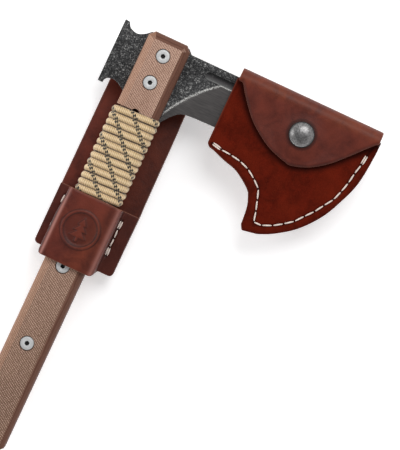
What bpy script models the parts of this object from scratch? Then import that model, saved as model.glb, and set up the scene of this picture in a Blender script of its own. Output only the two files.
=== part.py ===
"""A compact full-tang felling hatchet with a leather blade cover and a leather belt carrier.

It lies flat: +X points from the poll to the cutting edge, +Y from the butt of the handle to the
head, +Z up through the thickness. Outline numbers are millimetres from the middle of the handle's
head end; `place` turns them into metres in the part's frame.
"""
import math

import bmesh
import bpy
from mathutils import Matrix, Vector

COLLECTION = "felling_hatchet"
MM = 0.001
GAP = 0.3  # air left between two pieces that touch, mm

# Driving dimensions, mm
POLL_X = -29.1  # striking face of the poll
COVER_X = 136.9  # forward tip of the cover
FOLD_Y = 4.9  # top of the cover's fold
BUTT_Y = -258.6  # end of the handle
HANDLE_TOP_Y = 2.5
STEEL = 6.0  # plate that head and tang are cut from
SCALE = 6.5  # one handle scale
LEATHER = 2.8
CORD = 3.7
WRAP_TOP_Y, WRAP_END_Y = -45.0, -100.2
WRAP_TURNS = 13
WRAP_RECESS = 2.2  # the handle is cut back this far under the cord
BELT_GAP = 5.6  # room for a belt inside the carrier

# Levels through the thickness, mm above what the carrier lies on
FRONT_LEG_Z = LEATHER + BELT_GAP
HANDLE_REAR_Z = FRONT_LEG_Z + LEATHER + GAP + CORD + GAP - WRAP_RECESS
MIDDLE_Z = HANDLE_REAR_Z + SCALE + GAP + STEEL / 2
HANDLE_HALF = STEEL / 2 + GAP + SCALE
HANDLE_FRONT_Z = MIDDLE_Z + HANDLE_HALF
PANEL_INNER = STEEL / 2 + GAP  # blade plane to a cover panel's inside
PANEL_OUTER = PANEL_INNER + LEATHER
SNAP_ROOM = 2.5  # the closed flap stands off the front panel by the height of the snap
FLAP_REAR = PANEL_OUTER + SNAP_ROOM
FLAP_FRONT = FLAP_REAR + LEATHER

# The handle's sides at its head end and from the wrap down, mm
HANDLE_LEFT_X = -13.1
HANDLE_RIGHT_TOP_X, HANDLE_RIGHT_X = 13.4, 12.2
HANDLE_CHAMFER = 4.4
HANDLE_CORNER = 3.2

BOLTS = [(0, -9.4), (-0.4, -26.4), (-1.2, -144.5), (-1.2, -193.9), (-0.6, -243.0)]
BOLT_HEAD_R, BOLT_SHANK_R = 4.15, 1.85
SLEEVE_R, SLEEVE_BORE_R = 2.95, 2.15
BOLT_HEAD = 2.0
HEX_R = 1.5
CORD_HOLES = [(-0.9, -46.2), (-1.2, -105.0)]
CORD_HOLE_R = 2.6

SNAP = (92.2, -16.7)
SNAP_CAP_R, SNAP_CAP_RISE = 7.6, 2.6
FOLD_INNER_R = 4.0
HINGE_Y = FOLD_Y + 0.1  # the flap turns about the top of its fold

CARRIER_X = (-23.8, 26.8)
STRAP_LEAN = 0.016  # the strap leans this much towards the poll above the band
CARRIER_TOP_Y, CARRIER_END_Y = -12.0, -139.2
BAND_HALF_X, BAND_TOP_Y, BAND_END_Y = 17.0, -100.6, -143.7

CENTRE_X = (POLL_X + COVER_X) / 2
CENTRE_Y = (FOLD_Y + BUTT_Y) / 2


def place(x, y, z=0.0):
    """A point in metres, with the origin under the middle of the whole."""
    return Vector(((x - CENTRE_X) * MM, (y - CENTRE_Y) * MM, z * MM))


# ---------------------------------------------------------------- outlines


def rounded(corners, steps=4):
    """An outline through corners (x, y) or (x, y, radius), with an arc at each radius."""
    points = []
    count = len(corners)
    for i, corner in enumerate(corners):
        here = Vector(corner[:2])
        radius = corner[2] if len(corner) > 2 else 0
        if not radius:
            points.append(tuple(here))
            continue
        back = (Vector(corners[i - 1][:2]) - here).normalized()
        on = (Vector(corners[(i + 1) % count][:2]) - here).normalized()
        half = back.angle(on) / 2
        start = here + back * radius / math.tan(half)
        centre = here + (back + on).normalized() * radius / math.sin(half)
        spoke = start - centre
        turn = math.copysign(math.pi - 2 * half, on.x * back.y - on.y * back.x)
        for k in range(steps + 1):
            angle = turn * k / steps
            c, s = math.cos(angle), math.sin(angle)
            points.append((centre.x + spoke.x * c - spoke.y * s, centre.y + spoke.x * s + spoke.y * c))
    return points


def smooth(points, steps=3):
    """A smooth stretch of outline through a few points."""
    ends = [points[0], *points, points[-1]]
    out = []
    for a, b, c, d in zip(ends, ends[1:], ends[2:], ends[3:]):
        for k in range(steps):
            t = k / steps
            spot = []
            for p, q, r, s in zip(a, b, c, d):
                square = (2 * p - 5 * q + 4 * r - s) * t**2
                cube = (3 * q - p - 3 * r + s) * t**3
                spot.append(0.5 * (2 * q + (r - p) * t + square + cube))
            out.append(tuple(spot))
    out.append(tuple(points[-1]))
    return out


# The cutting edge is an arc, ground over the last few millimetres.
TOE, EDGE_MIDDLE, HEEL = Vector((129.9, -1.2)), Vector((120.6, -41.0)), Vector((91.8, -72.5))
EDGE_GRIND = 2.4


def circle_through(a, b, c):
    """Centre and radius of the circle through three points."""
    d = 2 * (a.x * (b.y - c.y) + b.x * (c.y - a.y) + c.x * (a.y - b.y))
    p, q, r = a.length_squared, b.length_squared, c.length_squared
    x = (p * (b.y - c.y) + q * (c.y - a.y) + r * (a.y - b.y)) / d
    y = (p * (c.x - b.x) + q * (a.x - c.x) + r * (b.x - a.x)) / d
    centre = Vector((x, y))
    return centre, (a - centre).length


EDGE_CENTRE, EDGE_R = circle_through(TOE, EDGE_MIDDLE, HEEL)


def edge_arc(inset=0.0, steps=14):
    """Points along the cutting edge from toe to heel, moved in by inset."""
    start = math.atan2(*(TOE - EDGE_CENTRE).yx)
    end = math.atan2(*(HEEL - EDGE_CENTRE).yx)
    radius = EDGE_R - inset
    return [
        (
            EDGE_CENTRE.x + radius * math.cos(start + (end - start) * k / steps),
            EDGE_CENTRE.y + radius * math.sin(start + (end - start) * k / steps),
        )
        for k in range(steps + 1)
    ]


def handle_outline():
    corner = HANDLE_CORNER
    return [
        (HANDLE_LEFT_X + corner, HANDLE_TOP_Y),
        (HANDLE_RIGHT_TOP_X - corner, HANDLE_TOP_Y),
        (HANDLE_RIGHT_TOP_X, HANDLE_TOP_Y - corner),
        (HANDLE_RIGHT_TOP_X, -40.0),
        (HANDLE_RIGHT_X, -106.0),
        (HANDLE_RIGHT_X, BUTT_Y + corner),
        (HANDLE_RIGHT_X - corner, BUTT_Y),
        (HANDLE_LEFT_X + corner, BUTT_Y),
        (HANDLE_LEFT_X, BUTT_Y + corner),
        (HANDLE_LEFT_X, HANDLE_TOP_Y - corner),
    ]


def plate_outline():
    """Head and tang together, clockwise from the top of the poll."""
    poll_top = smooth([(-26.4, 1.3), (-24.3, -1.8), (-19.3, -3.2), (-14.6, -1.0)])
    neck_below = smooth([(88.7, -62.0), (86.4, -55.0), (80.7, -49.1), (69.0, -41.3), (58.5, -36.6)])
    neck_below += smooth([(43.9, -33.6), (26.3, -34.3), (20.2, -37.2), (15.0, -43.5)])
    poll_below = smooth([(-15.0, -35.8), (-18.4, -33.8), (-22.0, -33.1), (-25.4, -34.4), (-26.5, -37.4)])
    tang_left, tang_right = HANDLE_LEFT_X + 0.1, HANDLE_RIGHT_X - 0.1
    tang = [
        (HANDLE_RIGHT_TOP_X - 0.1, -46.5),
        (tang_right, -106.0),
        (tang_right, BUTT_Y + HANDLE_CORNER + 0.2),
        (tang_right - HANDLE_CORNER, BUTT_Y + 0.2),
        (tang_left + HANDLE_CORNER, BUTT_Y + 0.2),
        (tang_left, BUTT_Y + HANDLE_CORNER + 0.2),
        (tang_left, -37.0),
    ]
    return [
        (POLL_X, 1.5),
        *poll_top,
        (-12.0, 1.4),
        (12.0, 1.4),
        (14.6, -1.2),
        *edge_arc(EDGE_GRIND),
        *neck_below,
        *tang,
        *poll_below,
        (POLL_X, -37.4),
    ]


COVER_BEARD = smooth(
    [(82.4, -78.5), (81.4, -68.5), (79.4, -62.4), (76.6, -58.1), (66.8, -51.5), (57.5, -48.8), (49.5, -46.0)]
)
COVER_EDGE = smooth(
    [(136.6, -0.5), (136.2, -12.4), (134.3, -28.8), (129.3, -43.0), (123.3, -55.1), (113.3, -67.3),
     (101.7, -75.8), (93.3, -79.9)]
)
STITCH_LINE = [
    (47.2, -42.9), (68.0, -45.8), (78.7, -51.8), (83.3, -56.6), (85.4, -62.7), (89.3, -76.1), (111.0, -62.5),
    (125.2, -42.5), (129.5, -26.4), (131.9, -12.9), (133.0, -6.0),
]
COVER_LEFT_X = 44.6


def cover_outline(top=-1.2):
    """One panel of the cover, clockwise from its top left corner."""
    return [
        (COVER_LEFT_X, top),
        (136.6, top),
        *COVER_EDGE[1:],
        (84.2, -81.6),
        *COVER_BEARD,
        (46.4, -45.4),
        (COVER_LEFT_X, -43.6),
    ]


def flap_outline(top):
    lower = [
        (134.4, -3.4), (129.2, -9.0), (121.4, -17.7), (113.4, -25.7), (104.6, -31.8), (95.3, -35.3),
        (90.6, -35.2), (77.7, -31.1), (65.3, -23.1), (58.1, -16.0), (51.7, -8.0), (48.1, -2.6),
    ]
    return [(47.8, top), (134.9, top), *smooth(lower, steps=2)]


# ---------------------------------------------------------------- Blender helpers


def clear_scene():
    for thing in list(bpy.data.objects):
        bpy.data.objects.remove(thing, do_unlink=True)
    for group in list(bpy.data.collections):
        bpy.data.collections.remove(group)


def collection(name):
    group = bpy.data.collections.new(name)
    bpy.context.scene.collection.children.link(group)
    return group


def material(name, colour, roughness, metallic=0.0):
    made = bpy.data.materials.new(name)
    made.use_nodes = True
    shader = made.node_tree.nodes["Principled BSDF"]
    shader.inputs["Base Color"].default_value = (*colour, 1)
    shader.inputs["Roughness"].default_value = roughness
    shader.inputs["Metallic"].default_value = metallic
    made.diffuse_color = (*colour, 1)
    return made


def to_mesh(curve_object, weld=2e-6):
    """The curve object as a welded mesh object of the same name."""
    name = curve_object.name
    bpy.context.view_layer.update()
    evaluated = curve_object.evaluated_get(bpy.context.evaluated_depsgraph_get())
    mesh = bpy.data.meshes.new_from_object(evaluated)
    mesh.transform(curve_object.matrix_world)
    data = curve_object.data
    bpy.data.objects.remove(curve_object, do_unlink=True)
    bpy.data.curves.remove(data)
    edit = bmesh.new()
    edit.from_mesh(mesh)
    bmesh.ops.remove_doubles(edit, verts=edit.verts, dist=weld)
    bmesh.ops.recalc_face_normals(edit, faces=edit.faces)
    edit.to_mesh(mesh)
    edit.free()
    mesh.name = name
    return bpy.data.objects.new(name, mesh)


def prism(name, loops, low, high):
    """A flat outline (with holes, if more loops are given) between two levels."""
    curve = bpy.data.curves.new(name, "CURVE")
    curve.dimensions = "2D"
    curve.fill_mode = "BOTH"
    curve.extrude = (high - low) / 2 * MM
    for loop in loops:
        spline = curve.splines.new("POLY")
        spline.points.add(len(loop) - 1)
        for point, (x, y) in zip(spline.points, loop):
            point.co = (*place(x, y).xy, 0, 1)
        spline.use_cyclic_u = True
    thing = bpy.data.objects.new(name, curve)
    thing.location.z = (low + high) / 2 * MM
    bpy.context.scene.collection.objects.link(thing)
    made = to_mesh(thing)
    edit = bmesh.new()
    edit.from_mesh(made.data)
    bmesh.ops.dissolve_limit(edit, angle_limit=0.002, verts=edit.verts, edges=edit.edges)
    edit.to_mesh(made.data)
    edit.free()
    return made


def cylinder(name, x, y, low, high, radius, segments=20):
    edit = bmesh.new()
    bmesh.ops.create_cone(
        edit, cap_ends=True, segments=segments, radius1=radius * MM, radius2=radius * MM,
        depth=(high - low) * MM,
    )
    edit.transform(Matrix.Translation(place(x, y, (low + high) / 2)))
    mesh = bpy.data.meshes.new(name)
    edit.to_mesh(mesh)
    edit.free()
    return bpy.data.objects.new(name, mesh)


def turned(name, x, y, profile, segments=24):
    """A round piece from (radius, level) pairs that run from the top of its axis down to it again."""
    mesh = bpy.data.meshes.new(name)
    edit = bmesh.new()
    corners = [edit.verts.new((radius * MM, 0, level * MM)) for radius, level in profile]
    for a, b in zip(corners, corners[1:]):
        edit.edges.new((a, b))
    if profile[0] == profile[-1]:
        bmesh.ops.remove_doubles(edit, verts=edit.verts, dist=1e-7)
    edit.to_mesh(mesh)
    edit.free()
    thing = bpy.data.objects.new(name, mesh)
    screw = thing.modifiers.new("turn", "SCREW")
    screw.steps = screw.render_steps = segments
    screw.use_merge_vertices = True
    screw.merge_threshold = 1e-6
    thing.location = place(x, y)
    return thing


def bevel_rim(thing, level, width, segments=2):
    """Bevels the outer rim of the flat face at a level."""
    edit = bmesh.new()
    edit.from_mesh(thing.data)
    height = level * MM
    rim = [
        edge
        for edge in edit.edges
        if all(abs(v.co.z - height) < 1e-6 for v in edge.verts) and edge.calc_face_angle(0) > 0.5
    ]
    bmesh.ops.bevel(edit, geom=rim, offset=width * MM, segments=segments, profile=0.5, affect="EDGES")
    edit.to_mesh(thing.data)
    edit.free()


def cut(thing, cutters, operation="DIFFERENCE"):
    for cutter in cutters:
        modifier = thing.modifiers.new(cutter.name, "BOOLEAN")
        modifier.operation = operation
        modifier.solver = "EXACT"
        modifier.object = cutter


def cutter(thing):
    thing.hide_render = True
    thing.display_type = "WIRE"
    cutters.objects.link(thing)
    return thing


def finish(thing, look, smooth_shading=False):
    """Links a finished piece, gives it its own material and shades it."""
    thing.data.materials.clear()
    colour, roughness, metallic = look
    thing.data.materials.append(material(thing.name, colour, roughness, metallic))
    if smooth_shading and thing.type == "MESH":
        thing.data.shade_smooth()
        thing.data.set_sharp_from_angle(angle=math.radians(35))
    parts.objects.link(thing)
    return thing


def profile_sheet(name, path, axis, start, end, thickness):
    """A bent sheet: a path of (across, up) pairs swept along X or Y, thickened about its middle."""
    mesh = bpy.data.meshes.new(name)
    edit = bmesh.new()
    spots = [place(start, a, z) if axis == "X" else place(a, start, z) for a, z in path]
    line = [edit.verts.new(spot) for spot in spots]
    for pair in zip(line, line[1:]):
        edit.edges.new(pair)
    bmesh.ops.remove_doubles(edit, verts=edit.verts, dist=0.05 * MM)
    swept = bmesh.ops.extrude_edge_only(edit, edges=edit.edges[:])["geom"]
    along = Vector((1, 0, 0)) if axis == "X" else Vector((0, 1, 0))
    moved = [v for v in swept if isinstance(v, bmesh.types.BMVert)]
    bmesh.ops.translate(edit, verts=moved, vec=along * (end - start) * MM)
    edit.to_mesh(mesh)
    edit.free()
    thing = bpy.data.objects.new(name, mesh)
    solid = thing.modifiers.new("thickness", "SOLIDIFY")
    solid.thickness = thickness * MM
    solid.offset = 0
    solid.use_even_offset = True
    return thing


# ---------------------------------------------------------------- looks: colour, roughness, metallic

STEEL_LOOK = ((0.085, 0.083, 0.08), 0.45, 0.9)
MICARTA_LOOK = ((0.42, 0.26, 0.17), 0.7, 0.0)
BOLT_LOOK = ((0.62, 0.61, 0.58), 0.35, 1.0)
CORD_LOOK = ((0.42, 0.33, 0.2), 0.85, 0.0)
SUEDE_LOOK = ((0.13, 0.02, 0.01), 0.9, 0.0)
GRAIN_LOOK = ((0.14, 0.035, 0.03), 0.45, 0.0)
THREAD_LOOK = ((0.8, 0.78, 0.74), 0.6, 0.0)
SNAP_LOOK = ((0.12, 0.11, 0.11), 0.3, 1.0)


# ---------------------------------------------------------------- hatchet


def bevel_level(x, y):
    """Half the blade's thickness where the broad grind runs, mm."""
    start, down_slope = Vector((14.0, -38.0)), Vector((0.767, -0.641))
    run_out = 99.5
    return STEEL / 2 * (1 - (Vector((x, y)) - start).dot(down_slope) / run_out)


def grind_cutter(name, side):
    """The wedge that the broad grind takes off one side of the blade."""
    outline = [(36.6, -10.8), (150.0, -10.8), (150.0, -95.0), (-3.8, -59.3)]
    high = STEEL
    wedge = prism(name, [outline], 0, high)
    for vertex in wedge.data.vertices:
        if vertex.co.z < high / 2 * MM:
            x, y = vertex.co.x / MM + CENTRE_X, vertex.co.y / MM + CENTRE_Y
            vertex.co.z = bevel_level(x, y) * MM
    if side < 0:
        wedge.data.transform(Matrix.Scale(-1, 4, Vector((0, 0, 1))))
        wedge.data.flip_normals()
    wedge.data.transform(Matrix.Translation((0, 0, MIDDLE_Z * MM)))
    return cutter(wedge)


def fuller_cutter(name, side):
    """A shallow round-ended groove along the top of the blade."""
    start, end, y, half, depth = 26.7, 104.0, -7.9, 2.3, 0.8
    slot = rounded([(start, y + half, half * 0.99), (end, y + half, half * 0.99),
                    (end, y - half, half * 0.99), (start, y - half, half * 0.99)])
    inner, outer = STEEL / 2 - depth, STEEL / 2 + 1
    low, high = (MIDDLE_Z + inner, MIDDLE_Z + outer) if side > 0 else (MIDDLE_Z - outer, MIDDLE_Z - inner)
    return cutter(prism(name, [slot], low, high))


def applied(thing):
    """The same object with its modifiers made real."""
    bpy.context.scene.collection.objects.link(thing)
    bpy.context.view_layer.update()
    graph = bpy.context.evaluated_depsgraph_get()
    mesh = bpy.data.meshes.new_from_object(thing.evaluated_get(graph))
    bpy.context.scene.collection.objects.unlink(thing)
    thing.modifiers.clear()
    thing.data = mesh
    edit = bmesh.new()
    edit.from_mesh(mesh)
    bmesh.ops.recalc_face_normals(edit, faces=edit.faces)
    edit.to_mesh(mesh)
    edit.free()
    return thing


def sharpen(thing):
    """Draws the blade's blunt rim out to the cutting edge."""
    edit = bmesh.new()
    edit.from_mesh(thing.data)
    centre = place(*EDGE_CENTRE, MIDDLE_Z)
    rim_radius = (EDGE_R - EDGE_GRIND) * MM
    rim = []
    for face in edit.faces:
        middle = face.calc_center_median() - centre
        if abs(face.normal.z) < 0.3 and abs(middle.xy.length - rim_radius) < 0.1 * MM:
            rim.append(face)
    drawn = bmesh.ops.extrude_face_region(edit, geom=rim)["geom"]
    for vertex in (v for v in drawn if isinstance(v, bmesh.types.BMVert)):
        out = (vertex.co - centre).xy.normalized() * EDGE_GRIND * MM
        vertex.co.xy += out
        vertex.co.z = centre.z + (vertex.co.z - centre.z) * 0.12
    bmesh.ops.delete(edit, geom=[f for f in rim if f.is_valid], context="FACES")
    bmesh.ops.recalc_face_normals(edit, faces=edit.faces)
    edit.to_mesh(thing.data)
    edit.free()


def recess_cutter(name):
    """A sleeve round the wrapped stretch; what it takes off the handle makes room for the cord."""
    left, right = HANDLE_LEFT_X + WRAP_RECESS, HANDLE_RIGHT_X - WRAP_RECESS
    half = HANDLE_HALF - WRAP_RECESS
    inner = rounded([(left, half, 2.5), (right, half, 2.5), (right, -half, 2.5), (left, -half, 2.5)])
    outer = [(-30, 20), (30, 20), (30, -20), (-30, -20)]
    length = WRAP_TOP_Y - WRAP_END_Y
    sleeve = prism(name, [outer, inner], 0, length)
    origin = place(0, 0)
    turn = Matrix.Rotation(math.radians(90), 4, "X")
    sleeve.data.transform(
        Matrix.Translation(place(0, WRAP_TOP_Y, MIDDLE_Z)) @ turn @ Matrix.Translation(-origin)
    )
    return cutter(sleeve)


def build_hatchet():
    recess = recess_cutter("cut_wrap_recess")
    cord_holes = [
        cutter(cylinder(f"cut_cord_hole_{i}", x, y, -1, 50, CORD_HOLE_R))
        for i, (x, y) in enumerate(CORD_HOLES, 1)
    ]
    tang_holes = [
        cutter(cylinder(f"cut_tang_hole_{i}", x, y, MIDDLE_Z - 4, MIDDLE_Z + 4, SLEEVE_R + GAP))
        for i, (x, y) in enumerate(BOLTS, 1)
    ]
    blade = prism("blade_and_tang", [plate_outline()], MIDDLE_Z - STEEL / 2, MIDDLE_Z + STEEL / 2)
    grinds = [grind_cutter("cut_grind_front", 1), grind_cutter("cut_grind_rear", -1)]
    fullers = [fuller_cutter("cut_fuller_front", 1), fuller_cutter("cut_fuller_rear", -1)]
    cut(blade, [*grinds, *fullers, recess, *cord_holes, *tang_holes])
    blade = applied(blade)
    sharpen(blade)
    finish(blade, STEEL_LOOK)

    for name, side in (("front_scale", 1), ("rear_scale", -1)):
        inner = MIDDLE_Z + side * (STEEL / 2 + GAP)
        outer = inner + side * SCALE
        scale = prism(name, [handle_outline()], min(inner, outer), max(inner, outer))
        bevel_rim(scale, outer, HANDLE_CHAMFER, segments=3)
        holes = []
        for i, (x, y) in enumerate(BOLTS, 1):
            sunk = outer - side * (BOLT_HEAD + GAP)
            low, high = sorted((sunk, outer + side))
            holes.append(cutter(cylinder(f"cut_{name}_head_{i}", x, y, low, high, BOLT_HEAD_R + GAP)))
            low, high = sorted((inner - side, outer + side))
            holes.append(cutter(cylinder(f"cut_{name}_bolt_{i}", x, y, low, high, SLEEVE_R + GAP)))
        cut(scale, [recess, *cord_holes, *holes])
        finish(scale, MICARTA_LOOK)

    for i, (x, y) in enumerate(BOLTS, 1):
        build_bolt(i, x, y)
    build_wrap()


def build_bolt(index, x, y):
    """A socket screw from the front, in a sleeve nut from the rear."""
    face = HANDLE_FRONT_Z - 0.3
    seat = face - BOLT_HEAD
    tip = HANDLE_REAR_Z + BOLT_HEAD + 1.5
    screw = turned(
        f"scale_bolt_{index}", x, y,
        [(0, face), (BOLT_HEAD_R - 0.4, face), (BOLT_HEAD_R, face - 0.4), (BOLT_HEAD_R, seat),
         (BOLT_SHANK_R, seat), (BOLT_SHANK_R, tip), (0, tip)],
    )
    socket = cylinder(f"cut_socket_{index}", x, y, face - 1.4, face + 1, HEX_R, segments=6)
    cut(screw, [cutter(socket)])
    finish(screw, BOLT_LOOK, True)

    back = HANDLE_REAR_Z + 0.3
    floor = back + BOLT_HEAD * 0.6
    mouth = seat - GAP - 0.5
    sleeve = turned(
        f"sleeve_nut_{index}", x, y,
        [(0, floor), (SLEEVE_BORE_R, floor), (SLEEVE_BORE_R, mouth), (SLEEVE_R, mouth),
         (SLEEVE_R, back + BOLT_HEAD), (BOLT_HEAD_R, back + BOLT_HEAD),
         (BOLT_HEAD_R, back + 0.4), (BOLT_HEAD_R - 0.4, back), (0, back)],
    )
    finish(sleeve, BOLT_LOOK, True)


def build_wrap():
    """Cord wound round the handle in one coil, with its two ends tucked in at the rear."""
    radius = CORD / 2
    clear = radius + 0.2
    left, right = HANDLE_LEFT_X + WRAP_RECESS - clear, HANDLE_RIGHT_X - WRAP_RECESS + clear
    half = HANDLE_HALF - WRAP_RECESS + clear
    bend = 2.5 + clear
    corners = [(left, -half, bend), (left, half, bend), (right, half, bend), (right, -half, bend)]
    turn = rounded(corners, steps=3)
    lengths = [math.dist(a, b) for a, b in zip(turn, turn[1:] + turn[:1])]
    whole = sum(lengths)
    start, end = WRAP_TOP_Y - radius - GAP, WRAP_END_Y + radius + GAP
    pitch = (start - end) / WRAP_TURNS
    curve = bpy.data.curves.new("cord_wrap", "CURVE")
    curve.dimensions = "3D"
    curve.bevel_depth = radius * MM
    curve.bevel_resolution = 2
    curve.use_fill_caps = True
    spline = curve.splines.new("POLY")
    route = []
    for lap in range(WRAP_TURNS):
        done = 0.0
        for (x, z), length in zip(turn, lengths):
            route.append(place(x, start - pitch * (lap + done / whole), MIDDLE_Z + z))
            done += length
    spline.points.add(len(route) - 1)
    for point, spot in zip(spline.points, route):
        point.co = (*spot, 1)
    thing = bpy.data.objects.new("cord_wrap", curve)
    finish(thing, CORD_LOOK)


# ---------------------------------------------------------------- cover


def panel(name, low, high, look, holes=(), top=-1.2):
    made = prism(name, [cover_outline(top)], MIDDLE_Z + low, MIDDLE_Z + high)
    cut(made, holes)
    return finish(made, look)


def build_cover(slide):
    stud_hole = cutter(cylinder("cut_stud_hole", *SNAP, MIDDLE_Z, MIDDLE_Z + PANEL_OUTER + 1, 2.0))
    post_sink = cutter(cylinder("cut_post_sink", *SNAP, MIDDLE_Z, MIDDLE_Z + PANEL_INNER + 1.0, 4.4))
    front = panel("cover_front_panel", PANEL_INNER, PANEL_OUTER, SUEDE_LOOK, [stud_hole, post_sink])
    near = FOLD_Y - LEATHER - FOLD_INNER_R
    rear = panel("cover_rear_panel", -PANEL_OUTER, -PANEL_INNER, GRAIN_LOOK, top=near - GAP)

    inner = [
        (132.0, -1.2), (131.2, -5.8), (129.7, -12.7), (127.4, -26.0), (123.2, -41.4), (109.4, -60.8),
        (90.6, -74.0), (87.3, -62.4), (84.7, -55.5), (79.5, -50.1), (68.5, -43.9), (COVER_LEFT_X, -40.6),
    ]
    outline = [*cover_outline()[1:], *reversed(inner)]
    welt = prism("cover_welt", [outline], MIDDLE_Z - PANEL_INNER + GAP, MIDDLE_Z + PANEL_INNER - GAP)
    finish(welt, SUEDE_LOOK)

    thread = build_thread("cover_thread", STITCH_LINE, MIDDLE_Z + PANEL_OUTER + GAP)

    middle = (PANEL_OUTER + PANEL_INNER) / 2
    face = middle, (FLAP_REAR + FLAP_FRONT) / 2
    outer = FOLD_Y - LEATHER / 2
    bend = FOLD_INNER_R + LEATHER / 2
    path = rounded(
        [(near, MIDDLE_Z - face[0]), (outer, MIDDLE_Z - face[0], bend), (outer, MIDDLE_Z + face[1], bend),
         (near, MIDDLE_Z + face[1])]
    )
    fold = profile_sheet("cover_fold", path, "X", 45.6, 135.6, LEATHER)
    fold = applied(fold)
    finish(fold, GRAIN_LOOK, True)

    post = turned(
        "snap_stud_post", *SNAP,
        [(0, MIDDLE_Z + PANEL_OUTER + 0.9), (1.2, MIDDLE_Z + PANEL_OUTER + 0.9),
         (1.2, MIDDLE_Z + PANEL_INNER + 0.8), (4.1, MIDDLE_Z + PANEL_INNER + 0.8),
         (4.1, MIDDLE_Z + PANEL_INNER + 0.2), (0, MIDDLE_Z + PANEL_INNER + 0.2)],
    )
    finish(post, SNAP_LOOK, True)
    base = MIDDLE_Z + PANEL_OUTER + 0.15
    stud = turned(
        "snap_stud", *SNAP,
        [(1.4, base + 1.4), (2.2, base + 1.4), (2.5, base + 1.1), (2.1, base + 0.5), (3.6, base + 0.5),
         (3.6, base), (1.4, base), (1.4, base + 1.4)],
    )
    finish(stud, SNAP_LOOK, True)
    for piece in (front, rear, welt, thread, fold, post, stud):
        hang(piece, slide)


def build_flap(hinge):
    flap = prism("cover_flap", [flap_outline(FOLD_Y - LEATHER - FOLD_INNER_R - GAP)],
                 MIDDLE_Z + FLAP_REAR, MIDDLE_Z + FLAP_FRONT)
    low, high = MIDDLE_Z + FLAP_REAR - 1, MIDDLE_Z + FLAP_FRONT + 1
    cut(flap, [cutter(cylinder("cut_cap_hole", *SNAP, low, high, 2.0))])
    finish(flap, GRAIN_LOOK)
    under, over = MIDDLE_Z + FLAP_REAR - 0.15, MIDDLE_Z + FLAP_FRONT + GAP
    socket = turned(
        "snap_socket", *SNAP,
        [(2.2, under), (4.6, under), (4.6, under - 0.9), (4.2, under - 1.3), (2.9, under - 1.3),
         (2.9, under - 0.4), (2.2, under - 0.4), (2.2, under)],
    )
    finish(socket, SNAP_LOOK, True)
    rise = [
        (
            SNAP_CAP_R * math.sin(math.radians(a)),
            over + 0.6 + (SNAP_CAP_RISE - 0.6) * math.cos(math.radians(a)),
        )
        for a in range(0, 91, 15)
    ]
    stem = [(1.7, over), (1.7, under - 0.35), (0, under - 0.35)]
    cap = turned("snap_cap", *SNAP, [*rise, (SNAP_CAP_R, over), *stem])
    finish(cap, SNAP_LOOK, True)
    for piece in (flap, socket, cap):
        hang(piece, hinge)


def build_thread(name, line, level, radius=0.4):
    """The upper run of a row of stitches, as one cord lying on the leather."""
    curve = bpy.data.curves.new(name, "CURVE")
    curve.dimensions = "3D"
    curve.bevel_depth = radius * MM
    curve.bevel_resolution = 1
    curve.use_fill_caps = True
    spline = curve.splines.new("POLY")
    spline.points.add(len(line) - 1)
    for point, spot in zip(spline.points, line):
        point.co = (*place(*spot, level + radius), 1)
    return finish(bpy.data.objects.new(name, curve), THREAD_LOOK)


# ---------------------------------------------------------------- carrier


def build_carrier(slide):
    """A strap folded into a belt loop, with a band sewn over it that the handle hangs in."""
    front, rear = FRONT_LEG_Z + LEATHER / 2, LEATHER / 2
    raised = HANDLE_REAR_Z - GAP - LEATHER / 2
    joined = raised - LEATHER - GAP
    bend = (front - rear) / 2 * 0.999
    route = rounded(
        [(CARRIER_END_Y, raised), (WRAP_END_Y - 8.0, raised, 4), (WRAP_END_Y - 2.0, front, 4),
         (CARRIER_TOP_Y - LEATHER / 2, front, bend), (CARRIER_TOP_Y - LEATHER / 2, rear, bend),
         (-103.0, rear, 8), (-121.0, joined, 8), (CARRIER_END_Y + 2, joined)]
    )
    left, right = CARRIER_X
    strap = applied(profile_sheet("carrier_strap", route, "X", left, right, LEATHER))
    plan = rounded([(left + 0.01, -5), (right - 0.01, -5), (right - 0.01, CARRIER_END_Y + 0.01, 2.4),
                    (left + 0.01, CARRIER_END_Y + 0.01, 2.4)])
    cut(strap, [cutter(prism("cut_strap_corners", [plan], -5, 40))], "INTERSECT")
    for vertex in strap.data.vertices:
        above = vertex.co.y - place(0, -103.0).y
        vertex.co.x -= STRAP_LEAN * max(above, 0.0)
    finish(strap, GRAIN_LOOK, True)

    wing = HANDLE_REAR_Z + LEATHER / 2
    wall = BAND_HALF_X - LEATHER / 2
    crown = HANDLE_FRONT_Z + GAP + LEATHER / 2
    route = rounded(
        [(left, wing), (-wall, wing, 2.2), (-wall, crown, 3.2), (wall, crown, 3.2), (wall, wing, 2.2),
         (right, wing)]
    )
    loop = applied(profile_sheet("carrier_loop", route, "Y", BAND_END_Y, BAND_TOP_Y, LEATHER))
    plan = rounded(
        [(left + 0.01, BAND_TOP_Y - 0.01), (right - 0.01, BAND_TOP_Y - 0.01),
         (right - 0.01, CARRIER_END_Y, 2.4), (BAND_HALF_X + 0.6, CARRIER_END_Y),
         (BAND_HALF_X - 1.2, BAND_END_Y + 0.2, 2), (-BAND_HALF_X + 1.2, BAND_END_Y + 0.2, 2),
         (-BAND_HALF_X - 0.6, CARRIER_END_Y), (left + 0.01, CARRIER_END_Y, 2.4)]
    )
    cut(loop, [cutter(prism("cut_loop_corners", [plan], -5, 50))], "INTERSECT")
    finish(loop, GRAIN_LOOK, True)

    level = HANDLE_REAR_Z + LEATHER + GAP
    sides = []
    seam_x = BAND_HALF_X + 1.3
    for name, x in (("carrier_thread_left", -seam_x), ("carrier_thread_right", seam_x)):
        sides.append(build_thread(name, [(x, -106.5), (x, -130.0)], level))
    for piece in (strap, loop, *sides):
        hang(piece, slide)


# ---------------------------------------------------------------- joints


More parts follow.
